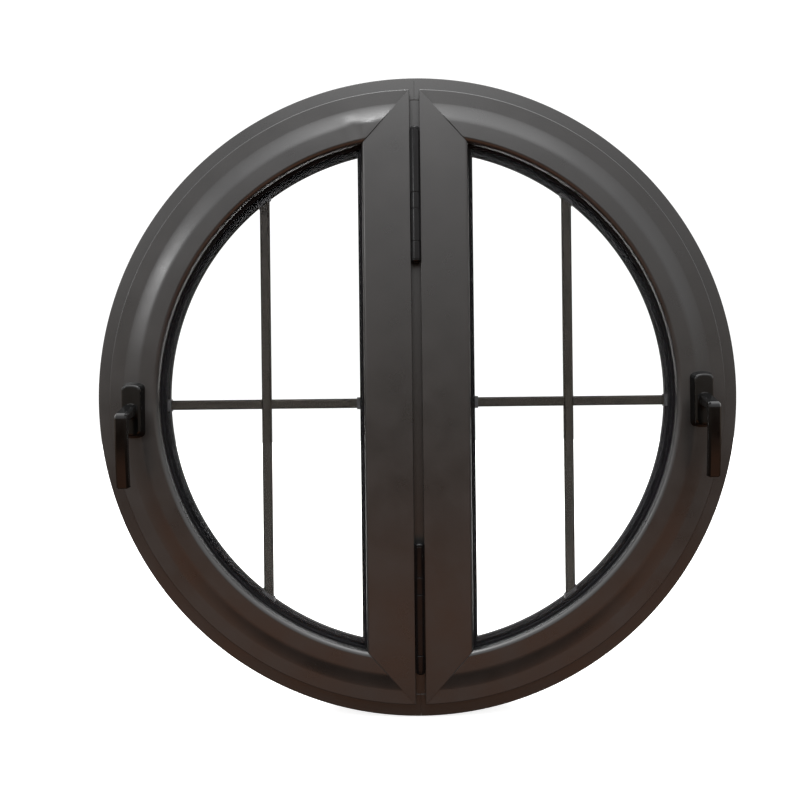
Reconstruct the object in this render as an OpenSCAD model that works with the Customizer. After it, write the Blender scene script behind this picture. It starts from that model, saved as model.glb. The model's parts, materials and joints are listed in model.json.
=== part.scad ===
// Round window with two inward-opening D-shaped sashes hung on one mullion.
// Origin: centre of the circle, on the weather face. +Z is up, -Y is the room.
// Places across a sash are given as u, counted inwards from the edge of its lip,
// and places through the window as d, counted from the weather face to the room.

/* [Frame] */
// Outside diameter of the frame
frame_dia = 800; // [640:10:1000]
// Depth of the frame, weather face to room face
frame_depth = 65; // [54:1:80]
// Width of the frame's web, outside to reveal
frame_web = 28; // [22:1:36]
// Width of the stop that the sashes close against
stop_w = 28; // [22:1:34]
// Thickness of the stop
stop_t = 20; // [16:1:24]
// Wall of the hollow profiles
wall = 2; // [1.5:0.1:2.6]

/* [Sashes] */
// Clear gap between the two sashes
sash_gap = 12; // [10:0.5:16]
// How far a sash lip covers the frame
overlap = 8; // [6.5:0.5:10]
// Width of the sash face, lip edge to glass edge
face_w = 60; // [50:1:72]
// Thickness of the sash lip
lip_t = 15; // [12.5:0.5:18]
// Gap between the lip and the frame, filled by the sash gasket
lip_gap = 3; // [2.5:0.5:4]
// Clearance between the sash body and the reveal
body_gap = 11; // [10:0.5:14]
// Width of the sash body
body_w = 23; // [21:1:28]
// Gap between the stop and the sash, filled by the frame gasket
stop_gap = 6; // [4:0.5:8]
// Height of the raised band on the bent members
crown = 3; // [1:0.5:4]

/* [Glazing] */
// Thickness of one pane
pane_t = 5; // [4:0.5:6]
// Space between the two panes
cavity = 14; // [12:1:16]
// How far the glass lies behind the sash face
glass_setback = 14; // [12:0.5:16]
// How far the sash face covers the edge of the glass
glass_cover = 13; // [11:1:15]
// Thickness of the glazing gaskets
gasket_t = 3; // [2:0.5:4]
// Height of the spacer bar
spacer_h = 8; // [6:0.5:10]
// How far the spacer shows past the sash face
spacer_show = 6; // [4:0.5:8]
// Width of a grille bar
grille_w = 12; // [8:1:18]
// Thickness of a grille bar
grille_t = 8; // [6:0.5:10]
// Upright grille bar, from the glass edge at the stile
grille_offset = 124; // [80:1:150]
// How far the level grille bars lie below the centre
grille_drop = 7; // [-40:1:40]

/* [Hinges] */
// Distance from the sashes' top corner to the upper hinge
upper_inset = 50; // [40:1:80]
// Distance from the sashes' bottom corner to the lower hinge
lower_inset = 42; // [40:1:80]
// Diameter of the hinge pins
pin_dia = 5; // [4:0.5:5]

/* [Handles] */
// How far the right handle's axis lies below the centre
right_drop = 6.5; // [-10:0.5:20]
// How far the left handle's axis lies below the centre
left_drop = 12.5; // [-10:0.5:20]
// Width of the handle plate
plate_w = 30; // [26:1:34]
// Height of the handle plate
plate_h = 70; // [62:1:84]
// Thickness of the handle plate
plate_t = 12; // [10:0.5:15]
// Length of the lever below its axis
lever_len = 92; // [76:1:110]
// Width of the lever
lever_w = 16; // [14:0.5:17]
// Thickness of the lever
lever_t = 11; // [9:0.5:13]
// Height of the lever's middle over the sash face
lever_rise = 48; // [42:1:56]

/* [Hidden] */
$fn = 96;

dark = [0.25, 0.24, 0.23];
black = [0.05, 0.05, 0.055];
grey = [0.42, 0.42, 0.43];
steel = [0.62, 0.63, 0.65];
glassy = [0.75, 0.82, 0.84, 0.35];

eps = 1;              // overshoot of a cutter past a face
fit = 0.2;            // clearance of a part inside a profile
run_fit = 0.05;       // radial clearance of a turning part
seal_gap = 0.3;       // gap between a gasket's lip and what it seals on
seal_w = 6;           // width of the frame gasket
seal_inset = 2;       // from the stop's edge to the frame gasket

// Radii of the frame
frame_r = frame_dia / 2;
reveal_r = frame_r - frame_web;
stop_r = reveal_r - stop_w;
sash_r = reveal_r + overlap;
mullion_half = sash_gap / 2 + overlap;

// Places across the sash
body_u = overlap + body_gap;
rebate_u = body_u + body_w;
glass_u = face_w - glass_cover;
sight_u = face_w + spacer_show;

// Places through the window
sash_back = stop_t + stop_gap;
lip_back = frame_depth + lip_gap;
face_d = lip_back + lip_t;
rim_d = face_d - crown / 2;
flat_d = face_d + crown / 2;
pane_d = face_d - glass_setback;
rebate_d = pane_d + gasket_t;
cavity_d = pane_d - pane_t;
outer_d = cavity_d - cavity;
bead_d = outer_d - pane_t - gasket_t;

function sash_x(u) = sash_gap / 2 + u;
function corner_z(u) = sqrt(pow(sash_r - u, 2) - pow(sash_x(u), 2));
function arc_points(x, y, r, from, to, steps) =
    [for (i = [0:steps]) let (a = from + (to - from) * i / steps) [x + r * cos(a), y + r * sin(a)]];

// Everything between two depths, from an outline in the window's plane
module between(d0, d1) {
    rotate([90, 0, 0]) translate([0, 0, d0]) linear_extrude(d1 - d0) children();
}

// A section (radius, d) turned about the window's centre
module bent(from, to) {
    rotate([90, 0, 0]) rotate_extrude(angle = to - from, start = from, $fn = 256) children();
}

// A section (x, d) run straight up, from z0 to z1
module straight(z0, z1) {
    mirror([0, 1, 0]) translate([0, 0, z0]) linear_extrude(z1 - z0) children();
}

// A round bar pointing out from the window's centre at an angle
module radial(angle, d, r0, r1, rad) {
    rotate([0, -angle, 0]) translate([r0, -d, 0]) rotate([0, 90, 0]) cylinder(r = rad, h = r1 - r0);
}

// The left sash is the mirror image of the right one
module on_side(side) {
    if (side == "left") mirror([1, 0, 0]) children();
    else children();
}

// D-shaped outline of the right-hand light, u inside the edge of the sash lip
module dee(u) {
    intersection() {
        circle(sash_r - u, $fn = 256);
        translate([sash_x(u), -sash_r]) square([sash_r, 2 * sash_r]);
    }
}

module dee_loop(u0, u1) {
    difference() {
        dee(u0);
        dee(u1);
    }
}

// Section turned round from u to radius, for the bent members
module as_radius() {
    translate([sash_r, 0]) mirror([1, 0]) children();
}

// ---- Frame ----
fixing_angles = [for (i = [0:7]) 22.5 + 45 * i];
fixing_r = 4;
fixing_d = frame_depth - 22;
sleeve_r = 7;
screw_port_x = mullion_half - wall - 4.5;
port_r = 4.8;
port_screw_r = 2.5;
port_d = frame_depth - 21;
access_r = 6;
key_angle = 6;
drain_angles = [-80, -55];
drain_h = 5;
drain_len = 24;
port_screw_reach = 45;   // how far the mullion's end screws run into it
port_head_h = 3;
port_head_seat = 5;
inner_chamber = [stop_t + wall, frame_depth - wall];

module frame_section() {
    difference() {
        union() {
            translate([reveal_r, 0]) square([frame_web, frame_depth]);
            translate([stop_r, 0]) square([stop_w + eps, stop_t]);
        }
        translate([reveal_r + wall, inner_chamber[0]])
            square([frame_web - 2 * wall, inner_chamber[1] - inner_chamber[0]]);
        translate([stop_r + wall, wall])
            square([frame_web + stop_w - 2 * wall, stop_t - 2 * wall]);
    }
}

module mullion_screw_places() {
    for (end = [0, 180], side = [-1, 1])
        rotate([0, end, 0]) translate([side * screw_port_x, -port_d, 0]) children();
}

module frame_arc() {
    color(dark) difference() {
        bent(-90, 90) frame_section();
        for (a = fixing_angles) radial(a, fixing_d, reveal_r - eps, frame_r + eps, fixing_r);
        mullion_screw_places() {
            cylinder(r = port_screw_r + fit, h = frame_r - wall);
            translate([0, 0, frame_r - 2 * wall]) cylinder(r = access_r, h = 2 * wall + eps);
        }
        drain_slots();
    }
}

// Slots in the weather face that let rain out of the rebate
module drain_slots() {
    for (a = drain_angles) rotate([0, -a, 0])
        translate([stop_r + stop_w / 2, -wall - eps, -drain_len / 2])
            cube([drain_h, wall + 2 * eps, drain_len]);
}

module frame_joint_keys() {
    color(steel) for (end = [90, 270]) difference() {
        bent(end - key_angle, end + key_angle)
            translate([reveal_r + wall + fit, inner_chamber[0] + fit])
                square([frame_web - 2 * wall - 2 * fit, inner_chamber[1] - inner_chamber[0] - 2 * fit]);
        mullion_screw_places() {
            cylinder(r = port_screw_r + fit, h = frame_r);
            translate([0, 0, frame_r - wall - port_head_seat])
                cylinder(r = access_r, h = port_head_seat + eps);
        }
    }
}

module mullion() {
    color(dark) difference() {
        intersection() {
            straight(-frame_r, frame_r) mullion_section();
            union() {
                between(stop_t, frame_depth) circle(reveal_r, $fn = 256);
                between(0, stop_t) circle(stop_r, $fn = 256);
            }
        }
        bracket_screw_places() translate([0, 0, -eps])
            cylinder(r = screw_r + run_fit, h = bracket_screw_len);
        mullion_screw_places() cylinder(r = port_screw_r, h = frame_r);
    }
}

module mullion_section() {
    half_stop = mullion_half + stop_w;
    difference() {
        union() {
            translate([-mullion_half, 0]) square([2 * mullion_half, frame_depth]);
            translate([-half_stop, 0]) square([2 * half_stop, stop_t]);
        }
        difference() {
            translate([-mullion_half + wall, inner_chamber[0]])
                square([2 * (mullion_half - wall), inner_chamber[1] - inner_chamber[0]]);
            for (side = [-1, 1]) translate([side * screw_port_x, port_d]) circle(port_r);
        }
        translate([-half_stop + wall, wall]) square([2 * (half_stop - wall), stop_t - 2 * wall]);
    }
}

module mullion_screws() {
    head_top = frame_r - 2 * wall;
    color(steel) mullion_screw_places() {
        translate([0, 0, reveal_r - port_screw_reach])
            cylinder(r = port_screw_r, h = head_top - reveal_r + port_screw_reach);
        translate([0, 0, frame_r - wall - port_head_seat])
            cylinder(r = access_r - 4 * fit, h = port_head_h);
    }
}

module fixing_sleeves() {
    color(grey) for (a = fixing_angles) difference() {
        intersection() {
            radial(a, fixing_d, reveal_r, frame_r, sleeve_r);
            between(0, frame_depth) difference() {
                circle(frame_r - wall, $fn = 256);
                circle(reveal_r + wall, $fn = 256);
            }
        }
        radial(a, fixing_d, reveal_r - eps, frame_r + eps, fixing_r);
    }
}

module frame_gasket() {
    stop_edge = overlap + stop_w;
    color(black) between(stop_t, sash_back - seal_gap)
        dee_loop(stop_edge - seal_inset - seal_w, stop_edge - seal_inset);
}

// ---- Lock: a bent rod that slides round the sash edge carries three cams ----
cam_angles = [-40, 0, 40];
cam_r = 4;
rod_d = frame_depth - 17;
rod_w = 12;
rod_t = 2.5;
rod_reach = 46;
rod_travel = 2.8;
keeper_t = 2;
keeper_w = 20;
keeper_side = 8;         // from the cams' middle to the keeper's room-side edge
keeper_span = 4;         // half of the angle that a keeper covers
keeper_screw_span = 3.2;
keeper_hole_r = 1.6;
cam_clear = 1.7;
tab_gap = 1.6;
tab_w = 6;
tab_h = 10;
rod_r = sash_r - body_u + fit;
cam_top = reveal_r - keeper_t - cam_clear;

module keepers() {
    color(steel) for (side = ["left", "right"]) on_side(side)
        for (a = cam_angles) difference() {
            bent(a - keeper_span - rod_travel, a + keeper_span)
                translate([reveal_r - keeper_t, rod_d + keeper_side - keeper_w])
                    square([keeper_t, keeper_w]);
            for (b = [a - keeper_screw_span - rod_travel, a + keeper_screw_span])
                radial(b, rod_d + keeper_side - keeper_w / 2, reveal_r - keeper_t - eps,
                       reveal_r + eps, keeper_hole_r);
        }
}

module drive_rod(drop) {
    color(steel) union() {
        bent(-rod_reach, rod_reach)
            translate([rod_r, rod_d - rod_w / 2]) square([rod_t, rod_w]);
        for (a = cam_angles) radial(a, rod_d, rod_r + rod_t / 2, cam_top, cam_r);
        translate([gearbox_x1 + tab_gap, -rod_d - tab_w / 2, -drop - tab_h / 2])
            cube([rod_r + rod_t / 2 - gearbox_x1 - tab_gap, tab_w, tab_h]);
    }
}

// ---- Hinges: one pin, knuckles in turn for the left sash, mullion, right sash, mullion ----
upper_knuckles = [78, 20, 40, 22];
lower_knuckles = [38, 21, 75, 20];
owners = ["left", "frame", "right", "frame"];
knuckle_gap = 0.4;
barrel_r = sash_gap / 2 - 0.5;
pin_r = pin_dia / 2;
leaf_t = 1.5;
leaf_w = 8;
leaf_d = lip_back + 1;
web_t = 3;
base_t = 2;
screw_r = 2;
screw_head_r = 3.2;
bracket_screw_len = 14;
leaf_screw_len = 10;
leaf_screw_shares = [0.12, 0.5, 0.88];
cap_h = 4;
cap_dome = 3.5;

function total(v, n) = n == 0 ? 0 : v[n - 1] + total(v, n - 1);
upper_top = corner_z(0) - upper_inset;
lower_top = -corner_z(0) + lower_inset + total(lower_knuckles, 4);
function knuckle_top(top, lengths, i) = top - total(lengths, i);

module knuckle(top, len) {
    translate([0, -face_d, top - len + knuckle_gap / 2])
        cylinder(r = barrel_r, h = len - knuckle_gap);
}

module pin_bore(top, lengths) {
    len = total(lengths, 4);
    translate([0, -face_d, top - len - eps]) cylinder(r = pin_r + run_fit, h = len + 2 * eps);
}

module hinge_bracket(top, lengths) {
    len = total(lengths, 4);
    web_top = face_d - pin_r;
    color(black) difference() {
        union() {
            translate([-sash_gap / 2, -frame_depth - base_t, top - len]) cube([sash_gap, base_t, len]);
            for (i = [1, 3]) {
                translate([-web_t / 2, -web_top, knuckle_top(top, lengths, i + 1) + knuckle_gap / 2])
                    cube([web_t, web_top - frame_depth, lengths[i] - knuckle_gap]);
                knuckle(knuckle_top(top, lengths, i), lengths[i]);
            }
        }
        pin_bore(top, lengths);
        bracket_screw_places() countersink(base_t);
    }
}

// Local +Z points into the mullion
module bracket_screw_places() {
    for (hinge = [[upper_top, upper_knuckles], [lower_top, lower_knuckles]], i = [0, 2])
        translate([0, -frame_depth, knuckle_top(hinge[0], hinge[1], i) - hinge[1][i] / 2])
            rotate([-90, 0, 0]) children();
}

// Countersunk clearance hole through a plate that lies on z = 0
module countersink(plate) {
    translate([0, 0, -plate]) cylinder(r1 = screw_head_r, r2 = screw_r + run_fit, h = plate);
    translate([0, 0, -eps / 2]) cylinder(r = screw_r + run_fit, h = eps);
}

module countersunk_screw(plate, len) {
    translate([0, 0, -plate]) cylinder(r1 = screw_head_r - run_fit, r2 = screw_r, h = plate);
    cylinder(r = screw_r, h = len);
}

module bracket_screws() {
    color(steel) bracket_screw_places() countersunk_screw(base_t, bracket_screw_len - 2 * eps);
}

module hinge_leaf(side, top, lengths) {
    len = total(lengths, 4);
    own = search([side], owners)[0];
    color(black) difference() {
        union() {
            translate([sash_gap / 2 - leaf_t, -leaf_d - leaf_w, top - len]) cube([leaf_t, leaf_w, len]);
            translate([sash_gap / 2 - leaf_t, -face_d, knuckle_top(top, lengths, own + 1) + knuckle_gap / 2])
                cube([leaf_t, face_d - leaf_d, lengths[own] - knuckle_gap]);
            knuckle(knuckle_top(top, lengths, own), lengths[own]);
        }
        pin_bore(top, lengths);
        leaf_screw_places() countersink(leaf_t);
    }
}

// Local +Z points into the sash lip
module leaf_screw_places() {
    for (hinge = [[upper_top, upper_knuckles], [lower_top, lower_knuckles]])
        for (share = leaf_screw_shares)
            translate([sash_gap / 2, -leaf_d - leaf_w / 2, hinge[0] - share * total(hinge[1], 4)])
                rotate([0, 90, 0]) children();
}

module leaf_screws() {
    color(steel) leaf_screw_places() countersunk_screw(leaf_t, leaf_screw_len);
}

module hinge_pins() {
    color(steel) for (hinge = [[upper_top, upper_knuckles], [lower_top, lower_knuckles]]) {
        len = total(hinge[1], 4);
        translate([0, -face_d, hinge[0] - len]) cylinder(r = pin_r, h = len);
    }
}

// Turned cap with a domed end, one on each end of a pin
module hinge_cap() {
    rotate_extrude() difference() {
        union() {
            square([barrel_r, cap_h / 2]);
            translate([0, cap_h / 2 - cap_dome]) intersection() {
                circle(barrel_r);
                square([barrel_r, barrel_r]);
            }
        }
        translate([-eps, -4]) square([barrel_r + 2 * eps, 4]);
    }
}

module hinge_caps() {
    color(black) for (hinge = [[upper_top, upper_knuckles], [lower_top, lower_knuckles]]) {
        translate([0, -face_d, hinge[0]]) hinge_cap();
        translate([0, -face_d, hinge[0] - total(hinge[1], 4)]) mirror([0, 0, 1]) hinge_cap();
    }
}

// ---- Sash members ----
lip_round = 1.5;
stile_round = 4.5;
arc_round = 6.5;
band_u = 16;
band_w = 19;

// Outline of the region that the mitre planes leave to the stile
module stile_region() {
    outer = [sash_x(0), corner_z(0)];
    inner = [sash_x(face_w), corner_z(face_w)];
    run = inner - outer;
    top = outer - run;
    low = inner + run;
    polygon([top, low, [low[0], -low[1]], [top[0], -top[1]]]);
}

// Everything behind the face: lip, body and glazing rebate
module sash_section(front) {
    polygon(concat(
        [[body_u, lip_back], [body_u, sash_back], [rebate_u, sash_back], [rebate_u, rebate_d],
         [face_w, rebate_d]],
        front,
        [[0, lip_back]]
    ));
}

module arc_front_section() {
    sash_section(concat(
        arc_points(face_w - arc_round, flat_d - arc_round, arc_round, 0, 90, 6),
        [[band_u + band_w, flat_d], [band_u + 0.82 * band_w, flat_d - 0.25 * crown],
         [band_u + 0.64 * band_w, rim_d + 0.33 * crown], [band_u, rim_d]],
        arc_points(lip_round, rim_d - lip_round, lip_round, 90, 180, 3)
    ));
}

module stile_front_section() {
    sash_section(concat(
        arc_points(face_w - stile_round, face_d - stile_round, stile_round, 0, 90, 5),
        arc_points(lip_round, face_d - lip_round, lip_round, 90, 180, 3)
    ));
}

module sash_chambers() {
    translate([body_u + wall, sash_back + wall])
        square([body_w - 2 * wall, lip_back - wall - sash_back - wall]);
    translate([wall, lip_back + wall]) square([rebate_u - 2 * wall, lip_t - 3 * wall]);
    translate([rebate_u, rebate_d + wall])
        square([face_w - rebate_u - arc_round, face_d - rebate_d - 3 * wall]);
}

// Openings that the handle and the lock need in the bent member
module lock_cuts(drop) {
    translate([handle_x, -lip_back + 2 * wall, -drop]) rotate([90, 0, 0])
        cylinder(r = spindle_hole_r, h = lip_t + crown + 2 * wall + eps);
    for (s = [-1, 1]) translate([handle_x, -lip_back - wall, -drop + s * plate_screw_z])
        rotate([90, 0, 0]) cylinder(r = plate_screw_r, h = lip_t + crown);
    slot_top = -drop + tab_h / 2 + 3;
    slot_low = -drop - tab_h / 2 - 3 - rod_travel / 180 * PI * sash_r;
    translate([gearbox_x1, -rod_d - tab_w / 2 - 2, slot_low])
        cube([body_u, tab_w + 4, slot_top - slot_low]);
}

module sash_arc(drop) {
    color(dark) difference() {
        bent(-90, 90) as_radius() difference() {
            arc_front_section();
            sash_chambers();
        }
        between(0, flat_d + eps) stile_region();
        lock_cuts(drop);
    }
}

module sash_stile() {
    color(dark) difference() {
        intersection() {
            straight(-sash_r, sash_r) translate([sash_gap / 2, 0]) difference() {
                stile_front_section();
                sash_chambers();
            }
            between(0, flat_d + eps) stile_region();
        }
        leaf_screw_places() translate([0, 0, -eps]) cylinder(r = screw_r + run_fit, h = wall + 2 * eps);
    }
}

module sash_gasket() {
    color(black) between(frame_depth + seal_gap, lip_back) dee_loop(2, overlap - 1);
}

// ---- Glazing ----
gasket_inset = 4;    // from the glass edge to a glazing gasket
gasket_show = 3;     // how far a glazing gasket shows past the sash face
grille_bevel = 2;
clip_w = 4;
clip_side = 1.5;     // how far a clip's foot stands out on each side of its bar
packer_span = 3;     // half of the angle that a packer covers
packer_half = 20;
bead_bevel = 2;
bead_show = 2;       // how far the bead shows past the sash face
packer_angles = [-62, -30, 30, 62];
packer_heights = [-200, 200];

module pane(d0) {
    color(glassy) between(d0, d0 + pane_t) dee(glass_u);
}

module spacer() {
    color(grey) between(outer_d, cavity_d) dee_loop(sight_u - spacer_h, sight_u);
}

module glazing_gasket(d0) {
    color(black) between(d0, d0 + gasket_t)
        dee_loop(glass_u + gasket_inset, face_w + gasket_show);
}

// Flat bar with bevelled long edges, along +Z through the middle of the cavity
module grille_bar(z0, z1) {
    half_w = grille_w / 2;
    half_t = grille_t / 2;
    bevel = grille_bevel;
    translate([0, -outer_d - cavity / 2, z0]) linear_extrude(z1 - z0) polygon([
        [half_w, -half_t + bevel], [half_w, half_t - bevel], [half_w - bevel, half_t],
        [-half_w + bevel, half_t], [-half_w, half_t - bevel], [-half_w, -half_t + bevel],
        [-half_w + bevel, -half_t], [half_w - bevel, -half_t]
    ]);
}

grille_x = sash_x(face_w) + grille_offset;

module grille_upright() {
    color(dark) intersection() {
        translate([grille_x, 0, 0]) grille_bar(-sash_r, sash_r);
        between(0, face_d) dee(sight_u + clip_w);
    }
}

module grille_level() {
    color(dark) difference() {
        intersection() {
            translate([0, 0, -grille_drop]) rotate([0, 90, 0]) grille_bar(0, sash_r);
            between(0, face_d) dee(sight_u + clip_w);
        }
        translate([grille_x - grille_w / 2, -face_d, -sash_r]) cube([grille_w, face_d, 2 * sash_r]);
    }
}

// Feet that hold the four bar ends against the spacer
module grille_clips() {
    foot = grille_w + 2 * clip_side;
    foot_t = grille_t + 2;
    mid_d = outer_d + cavity / 2;
    color(grey) intersection() {
        union() {
            translate([grille_x - foot / 2, -mid_d - foot_t / 2, -sash_r]) cube([foot, foot_t, 2 * sash_r]);
            translate([0, -mid_d - foot_t / 2, -grille_drop - foot / 2]) cube([sash_r, foot_t, foot]);
        }
        between(0, face_d) dee_loop(sight_u, sight_u + clip_w);
    }
}

// Bead that holds the glass in from the weather side
module bead_section() {
    bead_u = rebate_u + fit;
    top_u = face_w + bead_show;
    polygon([
        [bead_u, sash_back], [top_u - bead_bevel, sash_back], [top_u, sash_back + bead_bevel],
        [top_u, bead_d], [bead_u, bead_d]
    ]);
}

module bead_arc() {
    color(dark) difference() {
        bent(-90, 90) as_radius() bead_section();
        between(0, face_d) stile_region();
    }
}

module bead_stile() {
    color(dark) intersection() {
        straight(-sash_r, sash_r) translate([sash_gap / 2, 0]) bead_section();
        between(0, face_d) stile_region();
    }
}

// Blocks between the edge of the glass and the rebate
module packers() {
    color(black) union() {
        for (a = packer_angles) bent(a - packer_span, a + packer_span) as_radius()
            translate([rebate_u, bead_d + gasket_t])
                square([glass_u - rebate_u, 2 * pane_t + cavity]);
        for (z = packer_heights) straight(z - packer_half, z + packer_half)
            translate([sash_x(rebate_u), bead_d + gasket_t])
                square([glass_u - rebate_u, 2 * pane_t + cavity]);
    }
}

// ---- Handle ----
handle_x = sash_r - body_u - body_w / 2;
plate_d = flat_d + plate_t;
draft = 3;
plate_screw_z = 21.5;
plate_screw_r = 2.5;
plate_pocket_r = 5;
plate_pocket_h = 10;
plate_head_r = 4.6;
plate_head_h = 3;
spindle_hole_r = 6.5;
boss_r = 8.5;
boss_back = flat_d + 4;
spindle_a = 7;
spindle_top = plate_d - 1;
hub_r = 6;
hub_h = 16;
lever_bend = lever_t / 2 + 9;
gearbox_x0 = handle_x - body_w / 2 + wall + 0.5;
gearbox_x1 = handle_x + hub_r + 1;
gearbox_h = 48;
gearbox_d0 = rod_d - 8;
gearbox_d1 = lip_back - wall - fit;

// Places a handle part whose own origin is the handle's axis at d = 0
module at_handle(drop) {
    translate([handle_x, 0, -drop]) children();
}

// Drafted block with a gently crowned top and bottom edge
module plate_block() {
    w = plate_w / 2;
    h = plate_h / 2;
    back = rim_d - eps;
    crown_r = 2.2 * plate_w;
    intersection() {
        straight(-h, h) polygon([[-w, back], [w, back], [w - draft, plate_d], [-w + draft, plate_d]]);
        translate([-w, 0, 0]) rotate([0, 90, 0]) linear_extrude(2 * w)
            polygon([[-h, -back], [h, -back], [h - draft, -plate_d], [-h + draft, -plate_d]]);
        between(0, plate_d + eps) intersection() {
            translate([0, h - crown_r]) circle(crown_r, $fn = 256);
            translate([0, crown_r - h]) circle(crown_r, $fn = 256);
        }
    }
}

module handle_plate(drop) {
    color(black) difference() {
        at_handle(drop) plate_block();
        bent(-30, 30) as_radius() arc_front_section();
        at_handle(drop) {
            translate([0, -rim_d + 2 * eps, 0]) rotate([90, 0, 0])
                cylinder(r = boss_r + run_fit, h = plate_t + crown + 4 * eps);
            for (s = [-1, 1]) translate([0, -rim_d + 2 * eps, s * plate_screw_z]) rotate([90, 0, 0])
                cylinder(r = plate_pocket_r, h = plate_pocket_h + 2 * eps);
        }
    }
}

module plate_screws(drop) {
    shank = flat_d - lip_back - wall;
    color(steel) at_handle(drop) for (s = [-1, 1])
        translate([0, -lip_back - wall, s * plate_screw_z]) rotate([90, 0, 0]) {
            cylinder(r = plate_screw_r - fit, h = shank);
            translate([0, 0, shank]) cylinder(r = plate_head_r, h = plate_head_h);
        }
}

module lever_section() {
    intersection() {
        circle(lever_w / 2);
        square([lever_w, lever_t], center = true);
    }
}

// Round boss, neck that comes straight out, quarter bend, grip that hangs down
module lever(drop) {
    bend = lever_bend;
    mid_d = face_d + lever_rise;
    color(black) at_handle(drop) difference() {
        union() {
            translate([0, -boss_back, 0]) rotate([90, 0, 0])
                cylinder(r = boss_r, h = plate_d + 3 - boss_back);
            translate([0, -plate_d, 0]) rotate([90, 0, 0]) linear_extrude(mid_d - bend - plate_d)
                lever_section();
            translate([0, -mid_d + bend, -bend]) rotate([0, -90, 0]) rotate_extrude(angle = 90, start = 270)
                translate([bend, 0]) rotate(90) lever_section();
            translate([0, -mid_d, -lever_len]) linear_extrude(lever_len - bend) lever_section();
        }
        translate([0, -boss_back + eps, 0]) rotate([90, 0, 0])
            linear_extrude(spindle_top - boss_back + eps) square(spindle_a, center = true);
    }
}

module spindle(drop) {
    color(steel) at_handle(drop) union() {
        translate([0, -gearbox_d0 - 2, 0]) rotate([90, 0, 0])
            linear_extrude(spindle_top - gearbox_d0 - 2) square(spindle_a, center = true);
        translate([0, -gearbox_d0 - 4, 0]) rotate([90, 0, 0]) cylinder(r = hub_r, h = hub_h);
    }
}

module gearbox(drop) {
    color(steel) difference() {
        translate([gearbox_x0, -gearbox_d1, -drop - gearbox_h / 2])
            cube([gearbox_x1 - gearbox_x0, gearbox_d1 - gearbox_d0, gearbox_h]);
        at_handle(drop) translate([0, -gearbox_d0 - 1, 0]) rotate([90, 0, 0])
            cylinder(r = hub_r + run_fit, h = gearbox_d1 - gearbox_d0 + eps);
    }
}

on_side("left") frame_arc();  // left_frame_arc
frame_arc();  // right_frame_arc
frame_joint_keys();
mullion();
mullion_screws();
fixing_sleeves();
on_side("left") frame_gasket();  // left_frame_gasket
frame_gasket();  // right_frame_gasket
keepers();
hinge_bracket(upper_top, upper_knuckles);  // upper_hinge_bracket
hinge_bracket(lower_top, lower_knuckles);  // lower_hinge_bracket
bracket_screws();
hinge_pins();
hinge_caps();
on_side("left") sash_arc(left_drop);  // left_sash_arc
on_side("left") sash_stile();  // left_sash_stile
on_side("left") sash_gasket();  // left_sash_gasket
on_side("left") pane(cavity_d);  // left_inner_pane
on_side("left") pane(outer_d - pane_t);  // left_outer_pane
on_side("left") spacer();  // left_spacer
on_side("left") grille_upright();  // left_grille_upright
on_side("left") grille_level();  // left_grille_level
on_side("left") grille_clips();  // left_grille_clips
on_side("left") glazing_gasket(pane_d);  // left_inner_gasket
on_side("left") glazing_gasket(bead_d);  // left_outer_gasket
on_side("left") bead_arc();  // left_bead_arc
on_side("left") bead_stile();  // left_bead_stile
on_side("left") packers();  // left_packers
on_side("left") hinge_leaf("left", upper_top, upper_knuckles);  // left_upper_leaf
on_side("left") hinge_leaf("left", lower_top, lower_knuckles);  // left_lower_leaf
on_side("left") leaf_screws();  // left_leaf_screws
on_side("left") handle_plate(left_drop);  // left_handle_plate
on_side("left") plate_screws(left_drop);  // left_plate_screws
on_side("left") gearbox(left_drop);  // left_gearbox
on_side("left") drive_rod(left_drop);  // left_drive_rod
on_side("left") lever(left_drop);  // left_lever
on_side("left") spindle(left_drop);  // left_spindle
sash_arc(right_drop);  // right_sash_arc
sash_stile();  // right_sash_stile
sash_gasket();  // right_sash_gasket
pane(cavity_d);  // right_inner_pane
pane(outer_d - pane_t);  // right_outer_pane
spacer();  // right_spacer
grille_upright();  // right_grille_upright
grille_level();  // right_grille_level
grille_clips();  // right_grille_clips
glazing_gasket(pane_d);  // right_inner_gasket
glazing_gasket(bead_d);  // right_outer_gasket
bead_arc();  // right_bead_arc
bead_stile();  // right_bead_stile
packers();  // right_packers
hinge_leaf("right", upper_top, upper_knuckles);  // right_upper_leaf
hinge_leaf("right", lower_top, lower_knuckles);  // right_lower_leaf
leaf_screws();  // right_leaf_screws
handle_plate(right_drop);  // right_handle_plate
plate_screws(right_drop);  // right_plate_screws
gearbox(right_drop);  // right_gearbox
drive_rod(right_drop);  // right_drive_rod
lever(right_drop);  // right_lever
spindle(right_drop);  // right_spindle
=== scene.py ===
# Round window with two sashes: the finish, and the finer shape, of every piece that shows.
import json
import math

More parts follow.
